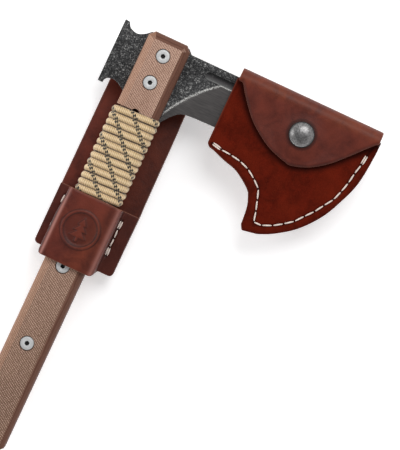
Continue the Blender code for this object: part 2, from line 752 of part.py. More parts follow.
def empty(name, spot, parent=None):
    made = bpy.data.objects.new(name, None)
    made.location = spot
    parts.objects.link(made)
    if parent:
        made.parent = parent
        bpy.context.view_layer.update()
        made.matrix_parent_inverse = parent.matrix_world.inverted()
    return made


def hang(piece, parent):
    """Parents a piece without moving it."""
    piece.parent = parent
    piece.matrix_parent_inverse = parent.matrix_world.inverted()


clear_scene()
parts = collection(COLLECTION)
cutters = collection("cutters")
build_hatchet()
cover_slide = empty("cover_slide", place(100, -40, MIDDLE_Z))
hinge_z = MIDDLE_Z + (FLAP_FRONT - PANEL_OUTER) / 2
flap_hinge = empty("flap_hinge", place(SNAP[0], HINGE_Y, hinge_z), cover_slide)
carrier_slide = empty("carrier_slide", place(0, -120, MIDDLE_Z))
bpy.context.view_layer.update()
build_cover(cover_slide)
build_flap(flap_hinge)
build_carrier(carrier_slide)
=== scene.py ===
import math

import bmesh
import bpy
import numpy as np
from mathutils import Matrix, Vector


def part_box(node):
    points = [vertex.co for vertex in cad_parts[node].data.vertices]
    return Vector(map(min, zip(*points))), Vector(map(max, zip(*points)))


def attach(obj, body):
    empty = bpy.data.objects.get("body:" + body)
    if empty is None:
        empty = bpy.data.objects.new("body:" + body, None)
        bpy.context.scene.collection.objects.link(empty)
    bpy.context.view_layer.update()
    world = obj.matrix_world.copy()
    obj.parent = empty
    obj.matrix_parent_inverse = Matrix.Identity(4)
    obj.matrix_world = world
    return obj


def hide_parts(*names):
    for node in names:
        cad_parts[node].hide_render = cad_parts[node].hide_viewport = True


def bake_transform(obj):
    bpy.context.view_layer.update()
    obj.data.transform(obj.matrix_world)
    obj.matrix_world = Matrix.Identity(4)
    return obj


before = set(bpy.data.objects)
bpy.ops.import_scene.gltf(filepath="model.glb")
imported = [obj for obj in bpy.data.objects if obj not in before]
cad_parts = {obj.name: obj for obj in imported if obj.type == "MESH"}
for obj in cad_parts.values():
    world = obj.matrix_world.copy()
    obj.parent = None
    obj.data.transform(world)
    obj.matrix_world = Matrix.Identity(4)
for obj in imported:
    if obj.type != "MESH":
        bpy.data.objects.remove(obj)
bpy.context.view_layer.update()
MM = 0.001

# ---------------------------------------------------------------- places, in millimetres
# x runs from the poll to the edge, y from the butt to the head and z up, as in the frame.
# Their zero is beside the top bolt, on the floor.

HANDLE_LEFT, HANDLE_TOP = -13.1, 2.5
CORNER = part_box("front_scale")
ZERO = Vector((CORNER[0].x - HANDLE_LEFT * MM, CORNER[1].y - HANDLE_TOP * MM, 0.0))
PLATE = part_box("blade_and_tang")
MIDDLE_Z = (PLATE[0].z + PLATE[1].z) / 2 / MM
STEEL = (PLATE[1].z - PLATE[0].z) / MM
HANDLE_HALF = CORNER[1].z / MM - MIDDLE_Z
HANDLE_Z = MIDDLE_Z + HANDLE_HALF
LEATHER = 2.8
PANEL_INNER = STEEL / 2 + 0.3
PANEL_OUTER = PANEL_INNER + LEATHER
FLAP_REAR = PANEL_OUTER + 2.5
FLAP_FRONT = FLAP_REAR + LEATHER
COVER_LEFT = 44.6
COVER_HEEL = (84.2, -81.6)
FRONT_TOP = -1.2
FOLD_TOP = 4.9
FOLD_BEND = 4.0 + LEATHER / 2
FOLD_LEFT, FOLD_RIGHT = 45.6, 135.6
SNAP = (92.2, -16.7)
SNAP_RIM_R, SNAP_POST_R = 7.05, 1.7
EMBLEM = (-0.9, -121.0)
STITCH, WING_STITCH = 6.5, 5.7
WING_SEAMS = {"left": ((-18.2, -106.2), (-18.2, -129.2)), "right": ((18.3, -106.2), (18.3, -129.2))}
STRAP_LEFT, STRAP_RIGHT = -23.8, 26.8
FULLER_X, FULLER_Y, FULLER_HALF = 26.7, -7.9, 2.3
GRIND_CORNERS = ((13.4, -39.0), (20.8, -26.9), (37.9, -9.7))
GRIND_START = (13.6, 14.2)
BOLT_SOCKET_R, BOLT_SOCKET_TOP, BOLT_SOCKET_END = 1.75, 0.15, 1.6
BAND_TOP_Y, BAND_END_Y = -100.6, -143.7


def at(x, y, z=0.0):
    return ZERO + Vector((x, y, z)) * MM


def frame_x(x):
    """The same place along x, in millimetres from the frame's own origin."""
    return at(x, 0).x / MM


def frame_y(y):
    return at(0, y).y / MM


# ---------------------------------------------------------------- lines


def rounded(corners, steps=4):
    """A line through the corners, where a corner given as (x, y, r) is an arc of that radius."""
    line = []
    for i, (x, y, *radius) in enumerate(corners):
        here = Vector((x, y))
        if not radius:
            line.append((x, y))
            continue
        before = Vector(corners[i - 1][:2])
        after = Vector(corners[(i + 1) % len(corners)][:2])
        into, out = (here - before).normalized(), (after - here).normalized()
        turn = math.atan2(into.x * out.y - into.y * out.x, into.dot(out))
        reach = radius[0] * math.tan(abs(turn) / 2)
        side = math.copysign(1, turn)
        centre = here - into * reach + Vector((-into.y, into.x)) * side * radius[0]
        arm = here - into * reach - centre
        for k in range(steps + 1):
            angle = turn * k / steps
            spot = centre + Matrix.Rotation(angle, 2) @ arm
            line.append((spot.x, spot.y))
    return line


def smooth(points, steps=4):
    """A Catmull-Rom curve through the points."""
    points = [Vector(p) for p in points]
    padded = [2 * points[0] - points[1], *points, 2 * points[-1] - points[-2]]
    line = []
    for a, b, c, d in zip(padded, padded[1:], padded[2:], padded[3:]):
        for k in range(steps):
            t = k / steps
            bend = (2 * a - 5 * b + 4 * c - d) * t * t + (3 * b - a - 3 * c + d) * t**3
            line.append(tuple(b + (c - a) * t / 2 + bend / 2))
    line.append(tuple(points[-1]))
    return line


def spaced(line, gap):
    """Points along the line, gap apart, with the direction at each."""
    line = [Vector(p) for p in line]
    found, left = [], 0.0
    for a, b in zip(line, line[1:]):
        length = (b - a).length
        while left <= length:
            found.append((a + (b - a) * left / length, (b - a).normalized()))
            left += gap
        left -= length
    return found


def distance(points, line):
    """How far each point lies from the line, in plan."""
    best = np.full(len(points), 1e9)
    for a, b in zip(line, line[1:]):
        a, b = np.array(a[:2]), np.array(b[:2])
        along = b - a
        if not along.any():
            continue
        share = np.clip((points[:, :2] - a) @ along / (along @ along), 0, 1)
        best = np.minimum(best, np.linalg.norm(points[:, :2] - a - share[:, None] * along, axis=1))
    return best


def circle_through(a, b, c):
    """Centre and radius of the circle through three points."""
    a, b, c = (complex(*p) for p in (a, b, c))
    w = (c - a) / (b - a)
    centre = (b - a) * (w - abs(w) ** 2) / (2j * w.imag) + a
    return (centre.real, centre.imag), abs(a - centre)


def ease(values, low, high):
    """0 below low, 1 above high and smooth between."""
    t = np.clip((np.asarray(values, float) - low) / (high - low), 0, 1)
    return t * t * (3 - 2 * t)


COVER_BEARD = smooth(
    [(82.4, -78.5), (81.4, -68.5), (79.4, -62.4), (76.6, -58.1), (66.8, -51.5), (57.5, -48.8),
     (49.5, -46.0)]
)
COVER_EDGE = smooth(
    [(136.6, -0.5), (136.2, -12.4), (134.3, -28.8), (129.3, -43.0), (123.3, -55.1), (113.3, -67.3),
     (101.7, -75.8), (93.3, -79.9)]
)
FLAP_EDGE = smooth(
    [(134.4, -3.4), (129.2, -9.0), (121.4, -17.7), (113.4, -25.7), (104.6, -31.8), (95.3, -35.3),
     (90.6, -35.2), (77.7, -31.1), (65.3, -23.1), (58.1, -16.0), (51.7, -8.0), (48.1, -2.6)]
)
STITCH_CORNER = (89.3, -76.1)
STITCH_LINE = smooth(
    [(47.2, -42.9), (57.0, -44.4), (68.0, -45.8), (78.7, -51.8), (83.3, -56.6), (85.4, -62.7),
     (87.4, -70.2), STITCH_CORNER]
)
STITCH_LINE += smooth(
    [STITCH_CORNER, (100.6, -70.7), (111.0, -62.5), (125.2, -42.5), (129.5, -26.4), (131.9, -12.9),
     (133.0, -6.0)]
)[1:]


def cover_outline(top):
    return [(COVER_LEFT, top), (136.6, top), *COVER_EDGE[1:], COVER_HEEL, *COVER_BEARD, (46.4, -45.4),
            (COVER_LEFT, -43.6)]


def flap_outline(top):
    return [(47.8, top), (134.9, top), *FLAP_EDGE]


# ---------------------------------------------------------------- meshes


def new_piece(name, edit):
    """An object at the origin from a bmesh in millimetres about ZERO."""
    bmesh.ops.recalc_face_normals(edit, faces=edit.faces)
    mesh = bpy.data.meshes.new(name)
    edit.to_mesh(mesh)
    edit.free()
    mesh.transform(Matrix.Translation(ZERO) @ Matrix.Scale(MM, 4))
    thing = bpy.data.objects.new(name, mesh)
    bpy.context.scene.collection.objects.link(thing)
    return thing


def applied(thing):
    """The object with its modifiers made final."""
    bpy.context.view_layer.update()
    whole = thing.evaluated_get(bpy.context.evaluated_depsgraph_get())
    mesh = bpy.data.meshes.new_from_object(whole)
    thing.modifiers.clear()
    thing.data = mesh
    return thing


def plate(edit, outline, low, high):
    """A flat solid between two heights."""
    lower = [edit.verts.new((*spot, low)) for spot in outline]
    upper = [edit.verts.new((*spot, high)) for spot in outline]
    edit.faces.new(reversed(lower))
    edit.faces.new(upper)
    for i, spot in enumerate(lower):
        j = (i + 1) % len(lower)
        edit.faces.new((spot, lower[j], upper[j], upper[i]))


def band(edit, path, start, end, thick):
    """A sheet along a path of (y, z) pairs, from x = start to x = end."""
    path = [Vector(p) for p in path]
    rings = []
    for i, spot in enumerate(path):
        along = (path[min(i + 1, len(path) - 1)] - path[max(i - 1, 0)]).normalized()
        out = Vector((-along.y, along.x)) * thick / 2
        corners = [(start, spot + out), (end, spot + out), (end, spot - out), (start, spot - out)]
        rings.append([edit.verts.new((x, yz.x, yz.y)) for x, yz in corners])
    for a, b in zip(rings, rings[1:]):
        for i in range(4):
            j = (i + 1) % 4
            edit.faces.new((a[i], a[j], b[j], b[i]))
    edit.faces.new(reversed(rings[0]))
    edit.faces.new(rings[-1])


def tube(edit, line, wide, high, sides=10, taper=None):
    """An oval rod along a line of (spot, up) pairs. Returns its rings of vertices."""
    rings = []
    spots = [Vector(spot) for spot, _ in line]
    for i, (spot, up) in enumerate(line):
        along = (spots[min(i + 1, len(line) - 1)] - spots[max(i - 1, 0)]).normalized()
        up = (Vector(up) - along * along.dot(Vector(up))).normalized()
        side = along.cross(up)
        share = taper[i] if taper else 1.0
        ring = []
        for k in range(sides):
            angle = math.tau * k / sides
            out = side * math.cos(angle) * wide * share + up * math.sin(angle) * high * share
            ring.append(edit.verts.new(Vector(spot) + out))
        rings.append(ring)
    for a, b in zip(rings, rings[1:]):
        for k in range(sides):
            j = (k + 1) % sides
            edit.faces.new((a[k], a[j], b[j], b[k]))
    edit.faces.new(reversed(rings[0]))
    edit.faces.new(rings[-1])
    return rings


def copied(name, node, width):
    """The CAD node's shape with small rounded edges, as a new piece."""
    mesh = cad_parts[node].data.copy()
    mesh.materials.clear()
    edit = bmesh.new()
    edit.from_mesh(mesh)
    bmesh.ops.remove_doubles(edit, verts=edit.verts, dist=0.002 * MM)
    bmesh.ops.dissolve_limit(edit, angle_limit=math.radians(0.8), verts=edit.verts, edges=edit.edges)
    edit.to_mesh(mesh)
    edit.free()
    thing = bpy.data.objects.new(name, mesh)
    bpy.context.scene.collection.objects.link(thing)
    bevel = thing.modifiers.new("edges", "BEVEL")
    bevel.width = width * MM
    bevel.segments = 2
    bevel.limit_method = "ANGLE"
    bevel.angle_limit = math.radians(25)
    applied(thing)
    shade(thing, 35)
    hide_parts(node)
    return thing


def shade(thing, angle):
    """Smooth shading, with sharp edges past an angle in degrees."""
    thing.data.shade_smooth()
    thing.data.set_sharp_from_angle(angle=math.radians(angle))


def skin(thing, voxel, rounds):
    """One even mesh round the closed shells of an object, with its edges worn round."""
    remesh = thing.modifiers.new("skin", "REMESH")
    remesh.mode = "VOXEL"
    remesh.voxel_size = voxel * MM
    soft = thing.modifiers.new("soft", "SMOOTH")
    soft.factor = 0.5
    soft.iterations = rounds
    applied(thing)
    shade(thing, 180)
    return thing


def spots(thing):
    """The vertices in millimetres about ZERO."""
    co = np.zeros(len(thing.data.vertices) * 3, np.float32)
    thing.data.vertices.foreach_get("co", co)
    return (co.reshape(-1, 3).astype(float) - np.array(ZERO)) / MM


def place_spots(thing, points):
    co = (points * MM + np.array(ZERO)).astype(np.float32)
    thing.data.vertices.foreach_set("co", co.ravel())
    thing.data.update()


def normals(thing):
    found = np.zeros(len(thing.data.vertices) * 3, np.float32)
    thing.data.vertices.foreach_get("normal", found)
    return found.reshape(-1, 3)


def note(thing, name, values):
    """A number or vector kept on each vertex for the material to read."""
    values = np.asarray(values, np.float32)
    kind = "FLOAT" if values.ndim == 1 else "FLOAT_VECTOR"
    attribute = thing.data.attributes.new(name, kind, "POINT")
    attribute.data.foreach_set("value" if values.ndim == 1 else "vector", values.ravel())


def circle(edit, centre, radius, height, sides):
    """A ring of vertices."""
    ring = []
    for k in range(sides):
        angle = math.tau * k / sides
        x, y = centre[0] + radius * math.cos(angle), centre[1] + radius * math.sin(angle)
        ring.append(edit.verts.new((x, y, height)))
    return ring


def shell_of(name, node):
    """The CAD node's closed shell, as a new object ready for skin()."""
    thing = bpy.data.objects.new(name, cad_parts[node].data.copy())
    thing.data.materials.clear()
    bpy.context.scene.collection.objects.link(thing)
    return thing


# ---------------------------------------------------------------- looks


def srgb(red, green, blue):
    """A colour given as 0-255 display values, in linear light."""
    def linear(v):
        v /= 255
        return v / 12.92 if v <= 0.04045 else ((v + 0.055) / 1.055) ** 2.4

    return linear(red), linear(green), linear(blue), 1.0


class Look:
    """A material built node by node. self.place is the spot on the piece at rest, in millimetres."""

    def __init__(self, name, kept=None, **sockets):
        self.material = bpy.data.materials.new(name)
        self.material.use_nodes = True
        self.nodes = self.material.node_tree.nodes
        self.links = self.material.node_tree.links
        self.shader = self.nodes["Principled BSDF"]
        for socket, value in sockets.items():
            self.shader.inputs[socket.replace("_", " ")].default_value = value
        if kept:
            self.place = self.kept(kept, "Vector")
        else:
            spot = self.nodes.new("ShaderNodeTexCoord").outputs["Object"]
            self.place = self.vector(spot, (1000, 1000, 1000), "MULTIPLY")

    def add(self, kind, *values, **settings):
        node = self.nodes.new("ShaderNode" + kind)
        for setting, value in settings.items():
            setattr(node, setting, value)
        for socket, value in zip(node.inputs, values):
            self.set(socket, value)
        return node

    def set(self, socket, value):
        if isinstance(value, bpy.types.NodeSocket):
            self.links.new(value, socket)
        elif value is not None:
            socket.default_value = value

    def kept(self, name, output="Fac"):
        return self.add("Attribute", attribute_name=name).outputs[output]

    def vector(self, a, b, operation):
        return self.add("VectorMath", a, b, operation=operation).outputs[0]

    def math(self, operation, a, b=None, c=None):
        return self.add("Math", a, b, c, operation=operation).outputs[0]

    def axis(self, direction):
        """How far along a direction the spot lies."""
        return self.add("VectorMath", self.place, direction, operation="DOT_PRODUCT").outputs["Value"]

    def noise(self, grain, detail=3.0, roughness=0.55, stretch=(1, 1, 1), twist=0.0):
        spot = self.vector(self.place, tuple(s / grain for s in stretch), "MULTIPLY")
        node = self.add("TexNoise", spot)
        settings = {"Scale": 1.0, "Detail": detail, "Roughness": roughness, "Distortion": twist}
        for socket, value in settings.items():
            node.inputs[socket].default_value = value
        return node.outputs["Fac"]

    def cells(self, grain):
        spot = self.vector(self.place, (1 / grain, 1 / grain, 1 / grain), "MULTIPLY")
        node = self.add("TexVoronoi", spot)
        node.inputs["Scale"].default_value = 1.0
        return node.outputs["Distance"]

    def span(self, value, low, high, start=0.0, end=1.0):
        """The value stretched from low-high to start-end, and held there."""
        return self.add("MapRange", value, low, high, start, end).outputs[0]

    def ramp(self, value, *stops):
        node = self.add("ValToRGB", value)
        while len(node.color_ramp.elements) < len(stops):
            node.color_ramp.elements.new(0.5)
        for element, (spot, colour) in zip(node.color_ramp.elements, stops):
            element.position = spot
            element.color = colour
        return node.outputs["Color"]

    def mix(self, share, a, b):
        """A mix of two colours; 0, 6, 7 and 2 are the Mix node's sockets for colour."""
        node = self.add("Mix", data_type="RGBA")
        for socket, value in ((0, share), (6, a), (7, b)):
            self.set(node.inputs[socket], value)
        return node.outputs[2]

    def wave(self, direction, pitch, shift=None):
        """A number from -1 to 1 that repeats every pitch along a direction."""
        phase = self.math("MULTIPLY", self.axis(direction), math.tau / pitch)
        if shift is not None:
            phase = self.math("ADD", phase, shift)
        return self.math("SINE", phase)

    def normal(self, side):
        """How much the surface faces a direction of the piece, -1 to 1."""
        facing = self.nodes.new("ShaderNodeTexCoord").outputs["Normal"]
        return self.add("VectorMath", facing, side, operation="DOT_PRODUCT").outputs["Value"]

    def finish(self, colour, roughness=None, height=None, depth=0.1):
        """Height is 0-1 and depth is in millimetres."""
        self.set(self.shader.inputs["Base Color"], colour)
        self.set(self.shader.inputs["Roughness"], roughness)
        if height is not None:
            bump = self.add("Bump")
            bump.inputs["Strength"].default_value = 1.0
            bump.inputs["Distance"].default_value = depth * MM
            self.links.new(height, bump.inputs["Height"])
            self.links.new(bump.outputs["Normal"], self.shader.inputs["Normal"])
        return self.material


def head_steel():
    """Dark coated steel, tumbled until it is flecked with bare metal, and a blade ground smooth.

    GRIND_CORNERS is the line where the ground part starts; a bright line along it and along the fuller's
    lower edge is bare-metal wear with a painted highlight.
    """
    look = Look("steel_stonewashed", Metallic=0.3)
    look.shader.inputs["Specular IOR Level"].default_value = 0.225
    fine = look.noise(0.75, detail=4.0, roughness=0.72, twist=0.7)
    coarse = look.noise(2.4, detail=2.0)
    flecks = look.math("MULTIPLY_ADD", coarse, 0.30, fine)
    flat = look.ramp(
        flecks, (0.50, srgb(26, 26, 27)), (0.63, srgb(42, 42, 43)), (0.73, srgb(74, 74, 74)),
        (0.84, srgb(176, 176, 174))
    )
    brushed = look.noise(1.6, detail=3.0, stretch=(0.25, 2.0, 1.0))
    ground = look.ramp(brushed, (0.3, srgb(70, 68, 68)), (0.7, srgb(86, 83, 82)))
    worn = look.noise(0.8, detail=4.0, roughness=0.8, twist=0.6)
    ragged = look.span(worn, 0.3, 0.7, -0.45, 0.45)
    centre, radius = circle_through(*GRIND_CORNERS)
    origin = at(*centre) / MM
    plan = look.vector(look.place, (1, 1, 0), "MULTIPLY")
    reach = look.add("VectorMath", plan, (origin.x, origin.y, 0), operation="DISTANCE").outputs["Value"]
    past_arc = look.math("SUBTRACT", radius, reach)
    below = look.math("SUBTRACT", frame_y(FULLER_Y - FULLER_HALF), look.axis((0, 1, 0)))
    inside = look.math("ADD", look.math("MINIMUM", past_arc, below), ragged)
    face = look.span(look.math("ABSOLUTE", look.normal((0, 0, 1))), 0.9, 0.97)
    ahead = look.span(look.axis((1, 0, 0)), frame_x(GRIND_START[0]), frame_x(GRIND_START[1]))
    blade = look.math("MULTIPLY", look.math("MULTIPLY", look.span(inside, 0.0, 0.25), face), ahead)
    colour = look.mix(blade, flat, ground)
    wide = look.span(look.math("SUBTRACT", past_arc, below), -0.6, 0.6, 0.75, 0.30)
    off_line = look.math("ABSOLUTE", look.math("SUBTRACT", inside, look.math("MULTIPLY", wide, 0.7)))
    line = look.math("MULTIPLY", look.span(look.math("DIVIDE", off_line, wide), 1.1, 0.5), ahead)
    crisp = look.span(wide, 0.35, 0.7, 0.85, 0.0)
    pepper = look.noise(0.62, detail=2.0, roughness=0.8)
    peppered = look.math("MAXIMUM", look.span(pepper, 0.44, 0.60), crisp)
    # the bright line along the grind and the fuller's lower edge: bare-metal wear with a painted highlight
    bare = look.math("MULTIPLY", look.math("MULTIPLY", line, face), peppered)
    colour = look.mix(bare, colour, srgb(212, 212, 208))
    # the fuller: painted shade at its upper wall, a painted highlight towards the lower one
    up = look.math("SUBTRACT", look.axis((0, 1, 0)), frame_y(FULLER_Y))
    along = look.math("SUBTRACT", frame_x(FULLER_X + FULLER_HALF), look.axis((1, 0, 0)))
    nose = look.math("MAXIMUM", along, 0.0)
    squares = look.math("ADD", look.math("POWER", look.math("ABSOLUTE", up), 2.0),
                        look.math("POWER", nose, 2.0))
    from_slot = look.math("SQRT", squares)
    slot = look.math("MULTIPLY", look.span(from_slot, FULLER_HALF + 0.15, FULLER_HALF - 0.25), face)
    floor = look.ramp(
        look.span(up, -FULLER_HALF, FULLER_HALF), (0.0, srgb(120, 120, 118)), (0.16, srgb(80, 80, 80)),
        (0.5, srgb(60, 58, 59)), (0.72, srgb(24, 22, 24)), (1.0, srgb(22, 22, 23))
    )
    colour = look.mix(look.math("MULTIPLY", slot, 0.85), colour, floor)
    rim = look.math("ABSOLUTE", look.normal((0, 0, 1)))
    rim = look.math("MULTIPLY", look.span(rim, 0.25, 0.45), look.span(rim, 0.96, 0.85))
    colour = look.mix(look.math("MULTIPLY", rim, look.span(worn, 0.35, 0.6)), colour, srgb(150, 150, 148))
    rough = look.mix(blade, (0.52, 0.52, 0.52, 1), (0.40, 0.40, 0.40, 1))
    relief = look.math("MULTIPLY", fine, look.math("MULTIPLY_ADD", blade, -0.85, 1.0))
    return look.finish(colour, rough, relief, 0.12)


def micarta():
    """Canvas laminate: a diagonal weave on the faces, layer lines on the cut edges.

    The chamfers carry painted shade on the right and at the top, and a painted highlight on the left.
    """
    look = Look("micarta_canvas", Roughness=0.7)
    look.shader.inputs["Specular IOR Level"].default_value = 0.2
    sway = look.math("MULTIPLY", look.noise(7.0), 6.0)
    warp = look.wave((0.53, 0.85, 0.0), 1.2, sway)
    weft = look.wave((0.85, -0.53, 0.0), 1.0, sway)
    weave = look.math("MULTIPLY_ADD", weft, 0.45, warp)
    grain = look.noise(0.6, detail=3.0, roughness=0.7)
    patch = look.noise(14.0, detail=3.0, roughness=0.6, stretch=(1.0, 0.4, 1.0))
    towards_head = look.span(look.axis((0, 1, 0)), frame_y(-200), frame_y(-60))
    ground = look.mix(towards_head, srgb(106, 82, 66), srgb(148, 116, 98))
    worn = look.mix(towards_head, srgb(124, 98, 80), srgb(166, 134, 116))
    colour = look.mix(look.span(patch, 0.35, 0.65), ground, worn)
    depth = look.math("MULTIPLY_ADD", weave, 0.2, look.span(grain, 0.3, 0.7, -0.3, 0.3))
    colour = look.mix(look.span(depth, -0.35, 0.0, 0.75, 0.0), colour, srgb(92, 58, 48))
    colour = look.mix(look.span(depth, 0.02, 0.36, 0.0, 0.75), colour, srgb(206, 172, 154))
    layers = look.wave((0, 0, 1), 0.62, sway)
    layered = look.mix(look.span(layers, -0.6, 0.8, 0.0, 0.5), srgb(88, 56, 44), srgb(120, 84, 68))
    cut = look.span(look.math("ABSOLUTE", look.normal((0, 0, 1))), 0.995, 0.975)
    # painted shade: chamfers facing right and towards the head take the darker layer-line colour
    shaded_side = look.math("MAXIMUM", look.span(look.normal((1, 0, 0)), 0.1, 0.25),
                          look.span(look.normal((0, 1, 0)), 0.1, 0.25))
    colour = look.mix(look.math("MULTIPLY", cut, shaded_side), colour, layered)
    # painted highlight on the chamfers facing left
    pale = look.math("MULTIPLY", cut, look.span(look.normal((1, 0, 0)), -0.1, -0.3, 0.0, 0.45))
    colour = look.mix(pale, colour, srgb(168, 126, 102))
    return look.finish(colour, look.span(grain, 0.3, 0.7, 0.62, 0.78), depth, 0.10)


def satin(name, dark, light, roughness=0.34):
    """Fine turned metal."""
    look = Look(name, Metallic=0.4)
    rub = look.noise(0.45, detail=3.0, stretch=(1, 1, 0.4))
    stain = look.noise(3.5, detail=2.0)
    colour = look.mix(look.span(rub, 0.3, 0.7), dark, light)
    colour = look.mix(look.span(stain, 0.5, 0.8, 0.0, 0.35), colour, dark)
    return look.finish(colour, look.span(rub, 0.3, 0.7, roughness, roughness + 0.14), rub, 0.02)


def braid():
    """Braided cord: run is (millimetres along it, turns round it, 0)."""
    look = Look("cord_braid", Sheen_Weight=0.25, Roughness=0.8)
    run = look.kept("run", "Vector")
    split = look.add("SeparateXYZ", run)
    along, around = split.outputs[0], split.outputs[1]

    def strands(turns, pitch):
        turned = look.math("MULTIPLY", around, math.tau * turns)
        return look.math("SINE", look.math("MULTIPLY_ADD", along, math.tau / pitch, turned))

    left, right = strands(11, 2.1), strands(-11, 2.1)
    weave = look.math("MULTIPLY", left, right)
    worn = look.noise(1.4, detail=3.0)
    colour = look.mix(look.span(weave, -0.8, 0.6), srgb(128, 94, 54), srgb(226, 198, 150))
    colour = look.mix(look.span(worn, 0.45, 0.72, 0.0, 0.6), colour, srgb(224, 192, 156))
    # a painted highlight along the top of each turn, and painted shade towards the crevices between turns
    highlight_to_shade = look.math("ABSOLUTE", look.math("SUBTRACT", around, 0.25))
    colour = look.mix(look.span(highlight_to_shade, 0.09, 0.0, 0.0, 0.4), colour, srgb(240, 218, 176))
    colour = look.mix(look.span(highlight_to_shade, 0.12, 0.23, 0.0, 0.92), colour, srgb(74, 48, 24))
    # two tracer strands side by side run round the cord once every TRACER millimetres
    lap = look.math("FRACT", look.math("ADD", look.math("DIVIDE", along, TRACER), around))
    for centre, offset in ((0.45, 0.0), (0.56, 0.5)):
        off = look.math("ABSOLUTE", look.math("SUBTRACT", lap, centre))
        strand = look.span(off, 0.062, 0.046)
        dash = look.math("FRACT", look.math("MULTIPLY_ADD", along, 1 / 1.6, offset))
        fleck = look.math("LESS_THAN", dash, 0.66)
        inked = look.mix(fleck, srgb(206, 180, 138), srgb(8, 8, 12))
        colour = look.mix(strand, colour, inked)
    return look.finish(colour, None, weave, 0.10)


def suede():
    """The rough side of dyed leather, with pale cut edges."""
    look = Look("leather_suede", kept="rest", Roughness=0.9, Sheen_Weight=0.0)
    look.shader.inputs["Specular IOR Level"].default_value = 0.06
    nap = look.noise(0.55, detail=4.0, roughness=0.7)
    patch = look.noise(7.0, detail=4.0, roughness=0.65, twist=0.4)
    broad = look.noise(26.0, detail=2.0)
    colour = look.mix(look.span(patch, 0.30, 0.68), srgb(64, 12, 3), srgb(90, 21, 7))
    colour = look.mix(look.span(broad, 0.45, 0.7, 0.0, 0.55), colour, srgb(102, 28, 10))
    colour = look.mix(look.span(nap, 0.52, 0.75, 0.0, 0.40), colour, srgb(112, 44, 24))
    colour = look.mix(look.span(nap, 0.46, 0.30, 0.0, 0.45), colour, srgb(40, 8, 4))
    # darker where the leather is sunk, plus painted shade and painted shadow
    colour = look.mix(look.math("MULTIPLY", look.kept("press_and_shade"), 0.8), colour, srgb(24, 6, 4))
    colour = look.mix(look.math("MULTIPLY", look.kept("raw"), 0.8), colour, srgb(112, 58, 44))
    return look.finish(colour, None, look.math("MULTIPLY_ADD", patch, 0.6, nap), 0.22)


def grain():
    """Smooth dyed leather.

    burnish marks where it is rubbed orange, gloss_and_highlight where it is polished and a highlight is
    painted, press_and_shade its creases and its painted shade and shadow, and raw its cut edges.
    """
    look = Look("leather_grain", kept="rest", Coat_Weight=0.03, Coat_Roughness=0.3)
    look.shader.inputs["Specular IOR Level"].default_value = 0.2
    pores = look.cells(0.75)
    fine = look.noise(0.5, detail=3.0, roughness=0.6)
    patch = look.noise(9.0, detail=4.0, roughness=0.6, twist=0.5)
    broad = look.noise(30.0, detail=2.0, stretch=(1.0, 0.6, 1.0))
    colour = look.mix(look.span(patch, 0.3, 0.7), srgb(68, 25, 18), srgb(98, 39, 27))
    colour = look.mix(look.span(broad, 0.42, 0.68, 0.0, 0.55), colour, srgb(104, 42, 25))
    colour = look.mix(look.span(fine, 0.5, 0.75, 0.0, 0.25), colour, srgb(112, 56, 42))
    rubbed = look.mix(look.span(patch, 0.32, 0.66), srgb(76, 28, 14), srgb(112, 50, 26))
    colour = look.mix(look.kept("burnish"), colour, rubbed)
    # a painted highlight on polished crests
    colour = look.mix(look.math("MULTIPLY", look.kept("gloss_and_highlight"), 0.8), colour, srgb(158, 106, 96))
    # darker where the leather is sunk, plus painted shade and painted shadow
    colour = look.mix(look.math("MULTIPLY", look.kept("press_and_shade"), 0.8), colour, srgb(26, 9, 8))
    colour = look.mix(look.kept("raw"), colour, srgb(124, 78, 58))
    rough = look.math("MULTIPLY_ADD", look.kept("gloss_and_highlight"), -0.16, look.span(patch, 0.3, 0.7, 0.42, 0.54))
    height = look.math("MULTIPLY_ADD", pores, 0.5, look.math("MULTIPLY", patch, 1.4))
    return look.finish(colour, rough, height, 0.12)


def waxed_thread():
    look = Look("thread_waxed", Roughness=0.6, Sheen_Weight=0.2)
    twist = look.wave((0.7, 0.7, 0.2), 0.7)
    dirt = look.noise(1.5, detail=3.0)
    colour = look.mix(look.span(twist, -0.9, 0.3), srgb(208, 186, 172), srgb(252, 238, 228))
    colour = look.mix(look.span(dirt, 0.55, 0.8, 0.0, 0.4), colour, srgb(188, 164, 146))
    return look.finish(colour, None, twist, 0.10)


def gunmetal():
    look = Look("snap_gunmetal", Metallic=0.8)
    rub = look.noise(0.9, detail=4.0, roughness=0.65)
    tarnish = look.noise(4.0, detail=2.0)
    colour = look.mix(look.span(rub, 0.35, 0.7), srgb(98, 97, 97), srgb(150, 149, 149))
    colour = look.mix(look.span(tarnish, 0.45, 0.7, 0.0, 0.4), colour, srgb(78, 76, 76))
    return look.finish(colour, look.span(rub, 0.3, 0.7, 0.30, 0.40), rub, 0.012)


def paint(thing, *looks):
    thing.data.materials.clear()
    for look in looks:
        thing.data.materials.append(look)


def paint_node(name, look):
    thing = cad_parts[name]
    if thing.material_slots:
        for place in thing.material_slots:
            place.material = look
    else:
        thing.data.materials.append(look)


# ---------------------------------------------------------------- the cord's measures

TURNS = 13
WRAP_TOP, WRAP_END = -45.3, -100.5
PITCH = (WRAP_TOP - WRAP_END) / TURNS
CORD_WIDE, CORD_HIGH = PITCH / 2 * 0.985, 1.72
WRAP_LEFT, WRAP_RIGHT = -12.95, 12.85
RECESS_DEPTH, CORD_CENTRE = 2.2, 2.05
WRAP_HALF = HANDLE_HALF - RECESS_DEPTH + CORD_CENTRE
CORD_BEND, CORD_STEP, CORD_SIDES = 4.55, 1.1, 14
LAP = 82.4
TRACER = (LAP - 3.3) / 6  # so each turn's flecks lie 3.3 mm further right than the last's

HEAD_STEEL = head_steel()
MICARTA = micarta()
BOLT = satin("bolt_satin", srgb(176, 177, 177), srgb(206, 207, 207), 0.42)
